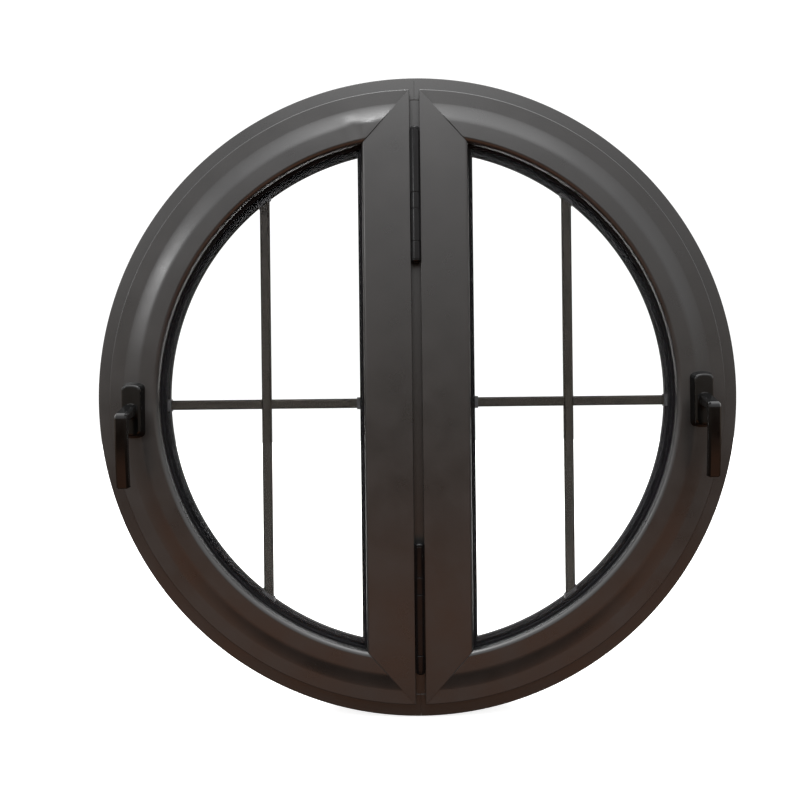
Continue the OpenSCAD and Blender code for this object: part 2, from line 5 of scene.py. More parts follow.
import bpy
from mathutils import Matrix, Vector

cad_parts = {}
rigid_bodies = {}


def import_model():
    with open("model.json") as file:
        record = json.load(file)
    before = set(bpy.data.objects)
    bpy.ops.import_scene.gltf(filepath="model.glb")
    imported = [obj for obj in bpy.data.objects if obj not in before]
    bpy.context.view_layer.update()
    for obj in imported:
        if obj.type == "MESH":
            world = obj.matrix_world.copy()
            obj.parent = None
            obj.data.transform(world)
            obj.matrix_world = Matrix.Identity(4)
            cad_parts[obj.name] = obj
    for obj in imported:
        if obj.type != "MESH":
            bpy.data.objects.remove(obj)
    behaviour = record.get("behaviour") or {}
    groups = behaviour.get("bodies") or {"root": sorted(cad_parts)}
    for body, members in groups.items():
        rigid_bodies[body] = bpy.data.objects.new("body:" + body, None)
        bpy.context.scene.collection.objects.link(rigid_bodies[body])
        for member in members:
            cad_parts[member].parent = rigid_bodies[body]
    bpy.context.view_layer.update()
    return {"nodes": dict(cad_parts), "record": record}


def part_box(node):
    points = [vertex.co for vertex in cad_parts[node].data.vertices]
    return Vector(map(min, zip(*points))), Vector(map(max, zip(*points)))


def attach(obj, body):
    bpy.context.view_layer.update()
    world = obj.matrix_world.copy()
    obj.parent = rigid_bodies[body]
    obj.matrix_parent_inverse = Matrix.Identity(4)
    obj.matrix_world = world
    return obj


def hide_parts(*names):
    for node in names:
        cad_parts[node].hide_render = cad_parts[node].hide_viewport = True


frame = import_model()
nodes = frame["nodes"]
mm = 0.001


def lowOf(node):
    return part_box(node)[0] / mm


def highOf(node):
    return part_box(node)[1] / mm


# Places that the frame gives, in millimetres. u runs inwards from the sash's edge, d from the weather side.
frameR = highOf("right_frame_arc").x
frameD = -lowOf("right_frame_arc").y
sashR = highOf("right_sash_arc").x
sashX = lowOf("right_sash_stile").x
sashBack = -highOf("right_sash_arc").y
faceD = -lowOf("right_sash_stile").y
flatD = -lowOf("right_sash_arc").y
rimD = 2 * faceD - flatD
faceW = highOf("right_sash_stile").x - sashX
cavityD = -highOf("right_inner_pane").y
outerD = -lowOf("right_outer_pane").y
rebateD = -lowOf("right_inner_gasket").y
beadD = -lowOf("right_bead_arc").y
lipD = -lowOf("right_sash_gasket").y

mergeWithin = {"trace": 0.0005, "finish": 0.002, "mirror": 0.01}  # mm


def clearSelection():
    for thing in bpy.context.view_layer.objects:
        thing.select_set(False)
    bpy.context.view_layer.objects.active = None


def choose(piece):
    clearSelection()
    piece.select_set(True)
    bpy.context.view_layer.objects.active = piece


def startPiece(name):
    piece = bpy.context.object
    piece.name = name
    piece.data.name = name
    bpy.ops.object.transform_apply(location=True, rotation=True, scale=True)
    bpy.ops.object.mode_set(mode="EDIT")
    bpy.ops.mesh.select_all(action="SELECT")
    return piece


def selectEdges(piece, wanted):
    bpy.ops.mesh.select_all(action="DESELECT")
    bpy.ops.object.mode_set(mode="OBJECT")
    points = piece.data.vertices
    for edge in piece.data.edges:
        ends = [points[i].co / mm for i in edge.vertices]
        edge.select = wanted(*ends)
    bpy.ops.object.mode_set(mode="EDIT")
    bpy.ops.mesh.select_mode(type="EDGE")


def selectFaces(piece, wanted):
    bpy.ops.mesh.select_mode(type="FACE")
    bpy.ops.mesh.select_all(action="DESELECT")
    bpy.ops.object.mode_set(mode="OBJECT")
    for face in piece.data.polygons:
        face.select = wanted(face.center / mm, face.normal)
    bpy.ops.object.mode_set(mode="EDIT")


def roundedCorners(corners, steps=4):
    # (a, b, radius) in order round a section
    points = []
    for i, (a, b, radius) in enumerate(corners):
        here = Vector((a, b))
        if not radius:
            points.append(here)
            continue
        before = (Vector(corners[i - 1][:2]) - here).normalized()
        after = (Vector(corners[(i + 1) % len(corners)][:2]) - here).normalized()
        half = before.angle(after) / 2
        reach = radius / math.tan(half)
        centre = here + (before + after).normalized() * radius / math.sin(half)
        start = here + before * reach - centre
        end = here + after * reach - centre
        for step in range(steps + 1):
            points.append(centre + start.lerp(end, step / steps).normalized() * radius)
    return points


def traceRing(name, places):
    # Closed ring of edges through the places, in mm
    clearSelection()
    places = [Vector(place) * mm for place in places]
    bpy.ops.mesh.primitive_plane_add(size=mm, location=places[0])
    piece = startPiece(name)
    bpy.ops.mesh.select_mode(type="VERT")
    bpy.ops.mesh.select_all(action="SELECT")
    bpy.ops.mesh.merge(type="CENTER")
    for here, there in zip(places, places[1:] + places[:1]):
        bpy.ops.mesh.extrude_vertices_move(TRANSFORM_OT_translate={"value": there - here})
    bpy.ops.mesh.select_all(action="SELECT")
    bpy.ops.mesh.remove_doubles(threshold=mergeWithin["trace"] * mm)
    bpy.ops.mesh.select_mode(type="EDGE")
    bpy.ops.mesh.select_all(action="SELECT")
    return piece


def cutAway(piece, place, normal, joint, above=0):
    # What lies beyond the plane goes, and the cut face gets a fine bevel for its joint line
    selectFaces(piece, lambda centre, way: centre.z > above)
    bpy.ops.mesh.bisect(plane_co=Vector(place) * mm, plane_no=normal, use_fill=joint > 0,
                        clear_outer=True, threshold=mergeWithin["trace"] * mm)
    if joint:
        bpy.ops.mesh.bevel(offset=joint * mm, segments=2, affect="EDGES")


def mirrorDown(piece):
    bpy.ops.object.mode_set(mode="OBJECT")
    mirror = piece.modifiers.new("lowerHalf", "MIRROR")
    mirror.use_axis = (False, False, True)
    mirror.merge_threshold = mergeWithin["mirror"] * mm
    bpy.ops.object.modifier_apply(modifier=mirror.name)


def settle(piece, crease=32):
    # Closed, outward faces, flat faces that shade flat
    choose(piece)
    bpy.ops.object.mode_set(mode="EDIT")
    bpy.ops.mesh.select_all(action="SELECT")
    bpy.ops.mesh.remove_doubles(threshold=mergeWithin["finish"] * mm)
    bpy.ops.mesh.normals_make_consistent(inside=False)
    bpy.ops.object.mode_set(mode="OBJECT")
    bpy.ops.object.shade_smooth_by_angle(angle=math.radians(crease))
    weighted = piece.modifiers.new("flatFaces", "WEIGHTED_NORMAL")
    weighted.keep_sharp = True
    bpy.ops.object.modifier_apply(modifier=weighted.name)


def twin(piece, name):
    # The same piece on the other side
    choose(piece)
    bpy.ops.object.duplicate()
    other = bpy.context.object
    other.name = name
    other.data.name = name
    bpy.ops.transform.resize(value=(-1, 1, 1))
    bpy.ops.object.transform_apply(location=True, rotation=True, scale=True)
    settle(other)
    return other


def stand(piece, node, body, material):
    # The piece shows in the node's place and moves with its body
    piece.data.materials.clear()
    piece.data.materials.append(material)
    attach(piece, body)
    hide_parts(node)


def applyBoolean(piece, cutter, operation="DIFFERENCE"):
    choose(piece)
    boolean = piece.modifiers.new("cut", "BOOLEAN")
    boolean.operation = operation
    boolean.object = cutter
    boolean.solver = "EXACT"
    bpy.ops.object.modifier_apply(modifier=boolean.name)
    bpy.data.objects.remove(cutter)


def newFinish(name):
    material = bpy.data.materials.new(name)
    material.use_nodes = True
    return material, material.node_tree, material.node_tree.nodes["Principled BSDF"]


def addNode(tree, kind, values):
    node = tree.nodes.new(kind)
    for key, value in values.items():
        if key in node.inputs:
            node.inputs[key].default_value = value
        else:
            setattr(node, key, value)
    return node


def noiseOf(tree, grain, detail=2.0, stretch=None):
    # Noise whose grain size is in mm, on the piece's own coordinates
    place = addNode(tree, "ShaderNodeTexCoord", {}).outputs["Object"]
    if stretch:
        turn = addNode(tree, "ShaderNodeMapping", {"Scale": stretch})
        tree.links.new(place, turn.inputs["Vector"])
        place = turn.outputs["Vector"]
    noise = addNode(tree, "ShaderNodeTexNoise", {"Scale": 1 / (grain * mm), "Detail": detail})
    tree.links.new(place, noise.inputs["Vector"])
    return noise.outputs["Fac"]


def tint(colour, amount):
    return tuple(min(1, part * amount) for part in colour[:3]) + (1,)


def blendColours(tree, factor, first, second, lowAt=0.35, highAt=0.65):
    ramp = addNode(tree, "ShaderNodeValToRGB", {})
    ramp.color_ramp.elements[0].position = lowAt
    ramp.color_ramp.elements[0].color = first
    ramp.color_ramp.elements[1].position = highAt
    ramp.color_ramp.elements[1].color = second
    tree.links.new(factor, ramp.inputs["Fac"])
    return ramp.outputs["Color"]


def spread(tree, factor, lowest, highest):
    scale = addNode(tree, "ShaderNodeMapRange", {"From Min": 0.3, "From Max": 0.7,
                                                 "To Min": lowest, "To Max": highest})
    tree.links.new(factor, scale.inputs["Value"])
    return scale.outputs["Result"]


def bumpOf(tree, height, depth, under=None):
    bump = addNode(tree, "ShaderNodeBump", {"Strength": 1.0, "Distance": depth * mm})
    tree.links.new(height, bump.inputs["Height"])
    if under:
        tree.links.new(under, bump.inputs["Normal"])
    return bump.outputs["Normal"]


def surfaceFinish(name, look):
    material, tree, shader = newFinish(name)
    cloud = noiseOf(tree, look["cloud"], 3.0)
    grain = noiseOf(tree, look["grain"], 1.0, look.get("brushed"))
    shader.inputs["Metallic"].default_value = look.get("metallic", 0)
    shader.inputs["Specular IOR Level"].default_value = look.get("specular", 0.5)
    colour = blendColours(tree, cloud, tint(look["colour"], 1 - look["mottle"]),
                          tint(look["colour"], 1 + look["mottle"]))
    tree.links.new(colour, shader.inputs["Base Color"])
    rough = spread(tree, cloud, look["roughness"] - look["patchy"], look["roughness"] + look["patchy"])
    tree.links.new(rough, shader.inputs["Roughness"])
    peel = bumpOf(tree, noiseOf(tree, look["peel"]), look["peelDepth"])
    tree.links.new(bumpOf(tree, grain, look["grainDepth"], peel), shader.inputs["Normal"])
    return material


finishes = {
    "frame_coat": {"colour": (0.011, 0.011, 0.011), "mottle": 0.10, "cloud": 60, "roughness": 0.32,
                   "patchy": 0.05, "grain": 0.45, "grainDepth": 0.012, "peel": 2.5, "peelDepth": 0.010,
                   "specular": 0.8},
    "sash_coat": {"colour": (0.011, 0.011, 0.011), "mottle": 0.10, "cloud": 45, "roughness": 0.31,
                  "patchy": 0.05, "grain": 0.45, "grainDepth": 0.012, "peel": 2.5, "peelDepth": 0.012,
                  "specular": 0.8},
    "bead_coat": {"colour": (0.010, 0.010, 0.010), "mottle": 0.08, "cloud": 45, "roughness": 0.42,
                  "patchy": 0.05, "grain": 0.45, "grainDepth": 0.012, "peel": 2.5, "peelDepth": 0.010,
                  "specular": 0.3},
    # Grille: its own dark charcoal coat, with a brown tint in the colour that is a painted reflection of a
    # warm timber room seen in the glass in front of the bars
    "grille_coat": {"colour": (0.013, 0.0105, 0.008), "mottle": 0.10, "cloud": 25, "roughness": 0.38,
                    "patchy": 0.05, "grain": 0.5, "grainDepth": 0.004, "peel": 2.0, "peelDepth": 0.005,
                    "specular": 0.2},
    "hinge_coat": {"colour": (0.002, 0.002, 0.0025), "mottle": 0.2, "cloud": 12, "roughness": 0.2,
                   "patchy": 0.06, "grain": 0.4, "grainDepth": 0.006, "peel": 1.6, "peelDepth": 0.006,
                   "specular": 0.26},
    "handle_coat": {"colour": (0.002, 0.002, 0.002), "mottle": 0.15, "cloud": 15, "roughness": 0.16,
                    "patchy": 0.05, "grain": 0.4, "grainDepth": 0.004, "peel": 1.8, "peelDepth": 0.005,
                    "specular": 0.36},
    "raw_aluminium": {"colour": (0.62, 0.62, 0.63), "mottle": 0.06, "cloud": 20, "roughness": 0.38,
                      "patchy": 0.08, "grain": 0.3, "grainDepth": 0.006, "peel": 2.0, "peelDepth": 0.004,
                      "metallic": 1, "brushed": (1, 1, 0.05)},
    "steel": {"colour": (0.40, 0.40, 0.42), "mottle": 0.08, "cloud": 8, "roughness": 0.33, "patchy": 0.08,
              "grain": 0.25, "grainDepth": 0.004, "peel": 1.2, "peelDepth": 0.004, "metallic": 1},
    "zinc": {"colour": (0.42, 0.42, 0.44), "mottle": 0.10, "cloud": 8, "roughness": 0.48, "patchy": 0.08,
             "grain": 0.6, "grainDepth": 0.012, "peel": 1.5, "peelDepth": 0.006, "metallic": 1},
    "grey_plastic": {"colour": (0.28, 0.28, 0.29), "mottle": 0.05, "cloud": 10, "roughness": 0.55,
                     "patchy": 0.05, "grain": 0.5, "grainDepth": 0.012, "peel": 2.0, "peelDepth": 0.006},
    "black_plastic": {"colour": (0.018, 0.018, 0.019), "mottle": 0.10, "cloud": 10, "roughness": 0.5,
                      "patchy": 0.05, "grain": 0.5, "grainDepth": 0.012, "peel": 2.0, "peelDepth": 0.006},
    "clip_plastic": {"colour": (0.03, 0.03, 0.032), "mottle": 0.06, "cloud": 8, "roughness": 0.42,
                     "patchy": 0.05, "grain": 0.5, "grainDepth": 0.008, "peel": 2.0, "peelDepth": 0.006,
                     "specular": 0.25},
    "gasket_rubber": {"colour": (0.008, 0.008, 0.009), "mottle": 0.15, "cloud": 20, "roughness": 0.72,
                      "patchy": 0.08, "grain": 0.35, "grainDepth": 0.006, "peel": 3.0, "peelDepth": 0.006,
                      "specular": 0.08},
    "spacer_bar": {"colour": (0.008, 0.008, 0.009), "mottle": 0.08, "cloud": 12, "roughness": 0.78,
                   "patchy": 0.06, "grain": 0.3, "grainDepth": 0.003, "peel": 1.5, "peelDepth": 0.003,
                   "specular": 0.05},
}

paneLook = {"tint": (0.985, 0.995, 0.99), "ior": 1.15, "film": 90}


def paneGlass(look):
    # Clear float glass. Shadow rays pass, so that the beads behind it are lit.
    material, tree, shader = newFinish("paneGlass")
    film = blendColours(tree, noiseOf(tree, look["film"], 3.0), look["tint"] + (1,), (1, 1, 1, 1))
    tree.links.new(film, shader.inputs["Base Color"])
    shader.inputs["Roughness"].default_value = 0
    shader.inputs["Transmission Weight"].default_value = 1
    shader.inputs["IOR"].default_value = look["ior"]
    clear = addNode(tree, "ShaderNodeBsdfTransparent", {})
    rays = addNode(tree, "ShaderNodeLightPath", {})
    mix = addNode(tree, "ShaderNodeMixShader", {})
    tree.links.new(rays.outputs["Is Shadow Ray"], mix.inputs["Fac"])
    tree.links.new(shader.outputs["BSDF"], mix.inputs[1])
    tree.links.new(clear.outputs["BSDF"], mix.inputs[2])
    tree.links.new(mix.outputs["Shader"], tree.nodes["Material Output"].inputs["Surface"])
    return material


materials = {slot: surfaceFinish(slot, look) for slot, look in finishes.items()}
materials["pane_glass"] = paneGlass(paneLook)
for row in frame["record"]["subparts"]:
    skin = nodes[row["node"]].data.materials
    skin.clear()
    skin.append(materials[row["material_slot"]])
print("finishes made")


def cornerZ(u):
    # Where the sash's mitre meets the bent edge, u in from it
    return math.sqrt((sashR - u) ** 2 - (sashX + u) ** 2)


mitreTop = Vector((sashX, 0, cornerZ(0)))
mitreRun = (Vector((sashX + faceW, 0, cornerZ(faceW))) - mitreTop).normalized()
mitreOut = Vector((mitreRun.z, 0, -mitreRun.x))  # square to the mitre, on the stile's side
quarterSteps = 72


def bentQuarter(name, section, joint):
    # The section turned from the level of the centre up to the mitre
    piece = traceRing(name, [(sashR - u, -d, 0) for u, d in section])
    bpy.ops.mesh.spin(steps=quarterSteps, angle=math.radians(90), center=(0, 0, 0), axis=(0, 1, 0))
    cutAway(piece, mitreTop, mitreSide(-1), joint, sashR / 2)
    return piece


def mitreSide(sign):
    # Points away from the part that is kept: 1 for a stile, -1 for a bent member
    toStile = mitreOut if mitreOut.x < 0 else -mitreOut
    return toStile if sign < 0 else -toStile


def straightHalf(name, section, joint):
    piece = traceRing(name, [(sashX + u, -d, 0) for u, d in section])
    bpy.ops.mesh.extrude_region_move(TRANSFORM_OT_translate={"value": (0, 0, (sashR + faceW) * mm)})
    cutAway(piece, mitreTop, mitreSide(1), joint)
    return piece


def member(name, section, shape, joint=0.25):
    piece = shape(name, section, joint)
    mirrorDown(piece)
    settle(piece)
    return piece


def loop(name, section):
    # One closed run all round the light: bent and straight parts bridged at the corners
    bent = bentQuarter(name, section, 0)
    bpy.ops.object.mode_set(mode="OBJECT")
    straight = straightHalf(name + "Run", section, 0)
    bpy.ops.object.mode_set(mode="OBJECT")
    choose(bent)
    straight.select_set(True)
    bpy.ops.object.join()
    bpy.ops.object.mode_set(mode="EDIT")
    bpy.ops.mesh.select_mode(type="EDGE")
    bpy.ops.mesh.select_all(action="DESELECT")
    bpy.ops.mesh.select_non_manifold(extend=False, use_wire=False, use_multi_face=False,
                                     use_non_contiguous=False, use_verts=False)
    bpy.ops.object.mode_set(mode="OBJECT")
    for edge in bent.data.edges:
        level = all(abs(bent.data.vertices[i].co.z) < 0.1 * mm for i in edge.vertices)
        edge.select = edge.select and not level
    bpy.ops.object.mode_set(mode="EDIT")
    bpy.ops.mesh.bridge_edge_loops()
    mirrorDown(bent)
    settle(bent)
    return bent


def bothSides(piece, part, bodySuffix, slot):
    # Right-hand piece and its left-hand twin, each on its own sash or on the frame
    other = twin(piece, piece.name.replace("right", "left"))
    for side, shown in (("right", piece), ("left", other)):
        body = "frame" if bodySuffix == "frame" else side + bodySuffix
        stand(shown, f"{side}_{part}", body, materials[slot])
    return other


sash = {"bodyU": 19, "rebateU": 42, "bandU": 16, "bandW": 19, "arcRound": 6.5, "stileRound": 4.5,
        "lipRound": 1.0, "backRound": 0.6, "stepRound": 0.4, "bandSteps": 14, "bandFade": 0.3, "rimLift": 0.5,
        "cornerSteps": 6, "ripple": 0.35, "rippleSize": 55}


def sashBehind(look):
    # Lip, body and glazing rebate, behind the face
    outer = look["backRound"]
    inner = look["stepRound"]
    return [(faceW, rebateD, outer), (look["rebateU"], rebateD, inner), (look["rebateU"], sashBack, outer),
            (look["bodyU"], sashBack, outer), (look["bodyU"], lipD, inner), (0, lipD, outer)]


def arcSection(look):
    # Flat rim, a rise that steepens and then fades into the inner flat, and the big rounding
    slopes = []
    for step in range(look["bandSteps"]):
        share = (step + 0.5) / look["bandSteps"] * (1 + look["bandFade"] / 2)
        slopes.append(math.sqrt(share) * min(1, (1 + look["bandFade"] / 2 - share) / look["bandFade"]))
    rise = []
    wide = look["bandW"] * (1 + look["bandFade"] / 2) / look["bandSteps"]
    for step in range(look["bandSteps"] + 1):
        height = (flatD - rimD) * sum(slopes[:step]) / sum(slopes)
        rise.append((look["bandU"] + step * wide, rimD + height, 0))
    return roundedCorners([(0, rimD + look["rimLift"], look["lipRound"])] + rise
                          + [(faceW, flatD, look["arcRound"])]
                          + sashBehind(look), look["cornerSteps"])


def stileSection(look):
    return roundedCorners([(0, faceD, look["lipRound"]), (faceW, faceD, look["stileRound"])]
                          + sashBehind(look), look["cornerSteps"])


def ripple(piece, look, seed):
    # The slight unevenness that bending leaves in a profile
    waves = bpy.data.textures.new("bendRipple", "CLOUDS")
    waves.noise_scale = look["rippleSize"] * mm
    waves.noise_depth = 1
    shift = bpy.data.objects.new("rippleShift", None)
    bpy.context.scene.collection.objects.link(shift)
    shift.location = (seed, 0, 0)
    choose(piece)
    uneven = piece.modifiers.new("ripple", "DISPLACE")
    uneven.texture = waves
    uneven.texture_coords = "OBJECT"
    uneven.texture_coords_object = shift
    uneven.direction = "Y"
    uneven.mid_level = 0.5
    uneven.strength = look["ripple"] * mm
    bpy.ops.object.modifier_apply(modifier=uneven.name)
    bpy.data.objects.remove(shift)


def buckle(piece, place, push, size):
    # A small dent or swelling, fading out over its size
    choose(piece)
    near = min(piece.data.vertices, key=lambda vertex: (vertex.co / mm - Vector(place)).length).index
    bpy.ops.object.mode_set(mode="EDIT")
    bpy.ops.mesh.select_mode(type="VERT")
    bpy.ops.mesh.select_all(action="DESELECT")
    bpy.ops.object.mode_set(mode="OBJECT")
    piece.data.vertices[near].select = True
    bpy.ops.object.mode_set(mode="EDIT")
    bpy.ops.transform.translate(value=Vector(push) * mm, use_proportional_edit=True,
                                proportional_edit_falloff="SMOOTH", proportional_size=size * mm)
    bpy.ops.object.mode_set(mode="OBJECT")


dents = [((-61, -84, 337), (0, -1.5, 0.3), 7), ((-70, -84, 332), (0, 1.3, 0), 8),
         ((-86, -83, 338), (0, -0.5, 0), 14)]
sashArc = member("rightSashArc", arcSection(sash), bentQuarter)
leftSashArc = bothSides(sashArc, "sash_arc", "_sash", "sash_coat")
ripple(sashArc, sash, 0.3)
ripple(leftSashArc, sash, 1.1)
for place, push, size in dents:
    buckle(leftSashArc, place, push, size)
sashStile = member("rightSashStile", stileSection(sash), straightHalf)
bothSides(sashStile, "sash_stile", "_sash", "sash_coat")
print("sash members modelled")

bead = {"backRound": 2, "show": 2, "edge": 0.5}


def beadSection(look):
    outer = lowOf("right_bead_stile").x - sashX
    return roundedCorners([(outer, sashBack, look["edge"]), (outer, beadD, look["edge"]),
                           (faceW + look["show"], beadD, look["edge"]),
                           (faceW + look["show"], sashBack, look["backRound"])])


bothSides(member("rightBeadArc", beadSection(bead), bentQuarter), "bead_arc", "_sash", "bead_coat")
bothSides(member("rightBeadStile", beadSection(bead), straightHalf), "bead_stile", "_sash", "bead_coat")
print("beads modelled")

rubber = {"sashU": (2, 7), "glazingU": (51, 63), "frameU": (28, 34)}
paneGap = 0.05  # keeps a face that lies on the glass just clear of it


def rubberSection(span, back, front, radius):
    # Flat on the side that it sits on, rounded on the other
    u0, u1 = span
    return roundedCorners([(u0, back, radius), (u0, front, radius), (u1, front, radius), (u1, back, radius)])


runs = [("SashGasket", "sash_gasket", rubber["sashU"], "_sash", 1.2),
        ("InnerGasket", "inner_gasket", rubber["glazingU"], "_sash", 1.0),
        ("OuterGasket", "outer_gasket", rubber["glazingU"], "_sash", 1.0),
        ("FrameGasket", "frame_gasket", rubber["frameU"], "frame", 1.8)]
for title, part, span, body, radius in runs:
    back = -highOf("right_" + part).y + (paneGap if part == "inner_gasket" else 0)
    front = -lowOf("right_" + part).y - (paneGap if part == "outer_gasket" else 0)
    run = loop("right" + title, rubberSection(span, back, front, radius))
    bothSides(run, part, body, "gasket_rubber")

spacer = {"height": 8, "show": 6, "edge": 0.6, "groove": 0.5, "grooveW": 1.6, "grooveIn": 2.4,
          "cornerSteps": 3}


def spacerSection(look):
    # Folded bar with a shallow groove down each side of its open face
    inner = faceW + look["show"]
    outer = inner - look["height"]
    back = outerD + paneGap
    front = cavityD - paneGap
    first = back + look["grooveIn"]
    second = front - look["grooveIn"]
    return roundedCorners([(outer, back, look["edge"]), (outer, front, look["edge"]),
                           (inner, front, look["edge"]),
                           (inner, second + look["grooveW"] / 2, 0), (inner - look["groove"], second, 0),
                           (inner, second - look["grooveW"] / 2, 0),
                           (inner, first + look["grooveW"] / 2, 0), (inner - look["groove"], first, 0),
                           (inner, first - look["grooveW"] / 2, 0),
                           (inner, back, look["edge"])], look["cornerSteps"])


bothSides(loop("rightSpacer", spacerSection(spacer)), "spacer", "_sash", "spacer_bar")
print("gaskets and spacers modelled")


ring = {"web": 28, "stop": 28, "stopT": 20, "edge": 0.9, "stopRound": 0.5, "steps": 96, "joint": 0.3,
        "jointHalf": 0.02, "hole": 4.7, "holeSides": 32, "holeFromFace": 22, "overrun": 4,
        "slot": (5, 6, 24), "slotAngles": (-80, -55), "holeAngles": (-67.5, -22.5, 22.5, 67.5)}
revealR = frameR - ring["web"]
stopR = revealR - ring["stop"]


def ringQuarter(look, name):
    piece = traceRing(name, [(r, -d, 0) for r, d in ringSection(look)])
    bpy.ops.mesh.spin(steps=look["steps"], angle=math.radians(90), center=(0, 0, 0), axis=(0, 1, 0))
    cutAway(piece, (look["jointHalf"], 0, 0), Vector((-1, 0, 0)), look["joint"], frameR / 2)
    return piece


def ringSection(look):
    edge = look["edge"]
    return roundedCorners([(frameR, 0, edge), (frameR, frameD, edge), (revealR, frameD, edge),
                           (revealR, look["stopT"], look["stopRound"]), (stopR, look["stopT"], edge),
                           (stopR, 0, edge)])


def ringHoles(look):
    # Cutters for the fixing holes and the drain slots, joined
    clearSelection()
    parts = []
    deep = -(frameD - look["holeFromFace"]) * mm
    for angle in look["holeAngles"]:
        turn = math.radians(angle)
        middle = (frameR + revealR) / 2 * mm
        bpy.ops.mesh.primitive_cylinder_add(
            vertices=look["holeSides"], radius=look["hole"] * mm, depth=(look["web"] + look["overrun"]) * mm,
            location=(middle * math.cos(turn), deep, middle * math.sin(turn)),
            rotation=(0, math.radians(90) - turn, 0))
        parts.append(bpy.context.object)
    for angle in look["slotAngles"]:
        turn = math.radians(angle)
        middle = (stopR + look["stop"] / 2 + look["slot"][0] / 2) * mm
        bpy.ops.mesh.primitive_cube_add(
            size=1, location=(middle * math.cos(turn), 0, middle * math.sin(turn)), rotation=(0, -turn, 0))
        slot = bpy.context.object
        slot.scale = Vector(look["slot"]) * mm
        bpy.ops.object.transform_apply(location=False, rotation=False, scale=True)
        parts.append(slot)
    clearSelection()
    for part in parts:
        part.select_set(True)
    bpy.context.view_layer.objects.active = parts[0]
    bpy.ops.object.join()
    bpy.ops.object.transform_apply(location=True, rotation=True, scale=True)
    return parts[0]


halfRing = ringQuarter(ring, "rightFrameRing")
mirrorDown(halfRing)
settle(halfRing)
applyBoolean(halfRing, ringHoles(ring))
settle(halfRing)
bothSides(halfRing, "frame_arc", "frame", "frame_coat")

post = {"edge": 0.7, "joint": 0.05, "shoulder": 8, "cornerRound": 0.4, "over": 2}


def roomInRing(look):
    # The space that the post fills: narrow at the stop, wide behind it
    narrow = stopR - look["joint"]
    wide = revealR - look["joint"]
    behind = look["over"]
    before = -frameD - look["over"]
    step = -ring["stopT"]
    room = traceRing("roomInRing", [(0, behind, 0), (narrow, behind, 0), (narrow, step, 0), (wide, step, 0),
                                    (wide, before, 0), (0, before, 0)])
    bpy.ops.mesh.spin(steps=4 * ring["steps"], angle=math.radians(360), center=(0, 0, 0), axis=(0, 1, 0))
    bpy.ops.object.mode_set(mode="OBJECT")
    settle(room)
    return room


def postSection(look):
    half = sashX + look["shoulder"]
    shelf = half + ring["stop"]
    stopT = ring["stopT"]
    edge = look["edge"]
    corner = look["cornerRound"]
    return roundedCorners([(-shelf, 0, edge), (-shelf, stopT, edge), (-half, stopT, corner),
                           (-half, frameD, edge), (half, frameD, edge), (half, stopT, corner),
                           (shelf, stopT, edge), (shelf, 0, edge)])


def straightBar(name, section, start, length, axis="z"):
    # A section extruded along z, or along x for a level bar, then closed at both ends
    if axis == "z":
        places = [(a, -d, start) for a, d in section]
        way = (0, 0, length * mm)
    else:
        places = [(start, -d, a) for a, d in section]
        way = (length * mm, 0, 0)
    bar = traceRing(name, places)
    bpy.ops.mesh.edge_face_add()
    bpy.ops.mesh.extrude_region_move(TRANSFORM_OT_translate={"value": way})
    return bar


mullion = straightBar("mullion", postSection(post), -frameR, 2 * frameR)
bpy.ops.object.mode_set(mode="OBJECT")
settle(mullion)
applyBoolean(mullion, roomInRing(post), "INTERSECT")
settle(mullion)
stand(mullion, "mullion", "frame", materials["frame_coat"])
print("ring and mullion modelled")


grille = {"width": 12, "depth": 8, "bevel": 2.0, "endBevel": 0.4, "seam": 0.15, "endGap": 0.5, "over": 1.1,
          "crease": 25}


def barSection(look, middle):
    half = look["width"] / 2
    back = (outerD + cavityD) / 2 - look["depth"] / 2
    front = back + look["depth"]
    bevel = look["bevel"]
    return [(middle - half, back + bevel), (middle - half, front - bevel), (middle - half + bevel, front),
            (middle + half - bevel, front), (middle + half, front - bevel), (middle + half, back + bevel),
            (middle + half - bevel, back), (middle - half + bevel, back)]


def softenEnds(look, bar):
    bpy.ops.mesh.select_all(action="SELECT")
    bpy.ops.mesh.bevel(offset=look["endBevel"] * mm, segments=2, affect="EDGES")
    bpy.ops.object.mode_set(mode="OBJECT")
    settle(bar, look["crease"])


def grilleBars(look):
    low, high = lowOf("right_grille_upright"), highOf("right_grille_upright")
    middle = (low.x + high.x) / 2
    endR = math.hypot(low.x, high.z)
    end = Vector((middle, 0, math.sqrt(endR ** 2 - middle ** 2)))
    upright = traceRing("rightGrilleUpright", [(a, -d, 0) for a, d in barSection(look, middle)])
    bpy.ops.mesh.extrude_region_move(TRANSFORM_OT_translate={"value": (0, 0, high.z * look["over"] * mm)})
    cutAway(upright, end, end.normalized(), look["endBevel"])
    mirrorDown(upright)
    settle(upright, look["crease"])
    bothSides(upright, "grille_upright", "_sash", "grille_coat")
    start, end = lowOf("right_grille_level"), highOf("right_grille_level")
    level = (start.z + end.z) / 2
    inner = straightBar("rightGrilleLevel", barSection(look, level), start.x,
                        low.x - start.x - look["seam"], "x")
    softenEnds(look, inner)
    outer = straightBar("outerLevel", barSection(look, level), high.x + look["seam"],
                        end.x - high.x - look["seam"] - look["endGap"], "x")
    softenEnds(look, outer)
    choose(inner)
    outer.select_set(True)
    bpy.ops.object.join()
    bothSides(inner, "grille_level", "_sash", "grille_coat")


grilleBars(grille)
print("grille bars modelled")


hinge = {"barrelR": 5.5, "sides": 40, "gap": 0.4, "edge": 0.5, "leafT": 1.5, "leafLow": 69, "leafHigh": 77,
         "plateEdge": 0.15, "webHalf": 1.5, "webSunk": 1, "webShort": 3, "baseT": 2, "baseRound": 0.4,
         "head": 3.3, "headSides": 24, "pocket": 0.6, "capH": 4, "capGap": 0.1, "capRound": 2.6,
         "upper": (78, 20, 40, 22), "lower": (38, 21, 75, 20), "owners": ("left", "frame", "right", "frame"),
         "shares": (0.12, 0.5, 0.88)}


